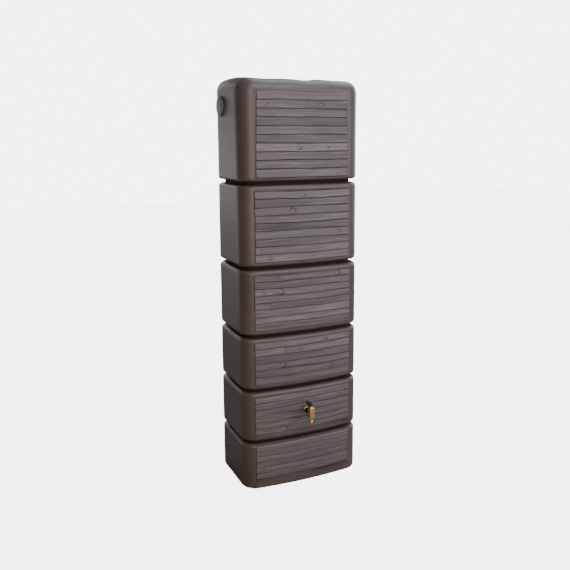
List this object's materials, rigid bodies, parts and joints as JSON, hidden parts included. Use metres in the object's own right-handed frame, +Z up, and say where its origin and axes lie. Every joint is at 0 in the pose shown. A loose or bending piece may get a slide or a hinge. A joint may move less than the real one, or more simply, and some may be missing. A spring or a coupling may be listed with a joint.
{
  "type": "rain barrel",
  "caption": "Tall slim wall-standing rainwater tank, moulded in stacked plank-patterned tiers, with a screw lid, side ports and a brass lever tap.",
  "frame": {"origin": "floor plane, midway between the flat back and the front corners, midway between the sides", "axes": "+Z up, +Y towards the wall behind the tank, so the plank front and the tap face -Y"},
  "size_m": [0.6002, 0.4549, 1.854],
  "materials": {
    "tank_plastic": "matte, moulded wood grain",
    "lid_plastic": "matte, fine texture",
    "cap_plastic": "matte",
    "seal_rubber": "matte",
    "seat_plastic": "smooth",
    "bush_brass": "turned",
    "tap_brass": "satin cast and turned",
    "lever_bronze": "dark bronzed",
    "ball_chrome": "polished",
    "screw_steel": "darkened"
  },
  "bodies": {
    "tank": {"tank_shell": "tank_plastic", "neck_ring": "tank_plastic", "wall_bushes": "bush_brass", "left_port_collar": "tank_plastic", "right_port_collar": "tank_plastic", "tap_insert": "bush_brass", "tap_washer": "seal_rubber", "tap_body": "tap_brass", "tap_seat_inlet": "seat_plastic", "tap_seat_outlet": "seat_plastic", "tap_retainer": "tap_brass", "tap_stem_seal": "seal_rubber", "tap_gland_nut": "tap_brass", "tap_grub_screw": "screw_steel", "tap_nozzle_washer": "seal_rubber", "tap_nozzle": "tap_brass"},
    "tap_handle": {"tap_ball": "ball_chrome", "tap_stem": "tap_brass", "tap_lever": "lever_bronze", "tap_lever_screw": "screw_steel"},
    "lid_seal": {"lid_seal": "seal_rubber"},
    "lid": {"lid": "lid_plastic"},
    "left_port_seal": {"left_port_seal": "seal_rubber"},
    "left_port_cap": {"left_port_cap": "cap_plastic"},
    "right_port_seal": {"right_port_seal": "seal_rubber"},
    "right_port_cap": {"right_port_cap": "cap_plastic"}
  },
  "joints": [
    {"name": "tap_turn", "type": "hinge", "parent": "tank", "child": "tap_handle", "pos_m": [0, -0.2623, 0.353], "axis": [0, 0, 1], "range_deg": [0, 90]},
    {"name": "lid_lift", "type": "slide", "parent": "tank", "child": "lid_seal", "axis": [0, 0, 1], "range_m": [0, 0.25]},
    {"name": "lid_turn", "type": "hinge", "parent": "lid_seal", "child": "lid", "pos_m": [0, -0.01, 1.83], "axis": [0, 0, 1], "range_deg": [0, 450]},
    {"name": "left_port_pull", "type": "slide", "parent": "tank", "child": "left_port_seal", "axis": [-1, 0, 0], "range_m": [0, 0.12]},
    {"name": "left_port_turn", "type": "hinge", "parent": "left_port_seal", "child": "left_port_cap", "pos_m": [-0.29, 0.068, 1.731], "axis": [-1, 0, 0], "range_deg": [0, 450]},
    {"name": "right_port_pull", "type": "slide", "parent": "tank", "child": "right_port_seal", "axis": [1, 0, 0], "range_m": [0, 0.12]},
    {"name": "right_port_turn", "type": "hinge", "parent": "right_port_seal", "child": "right_port_cap", "pos_m": [0.29, 0.068, 1.731], "axis": [1, 0, 0], "range_deg": [0, 450]}
  ]
}
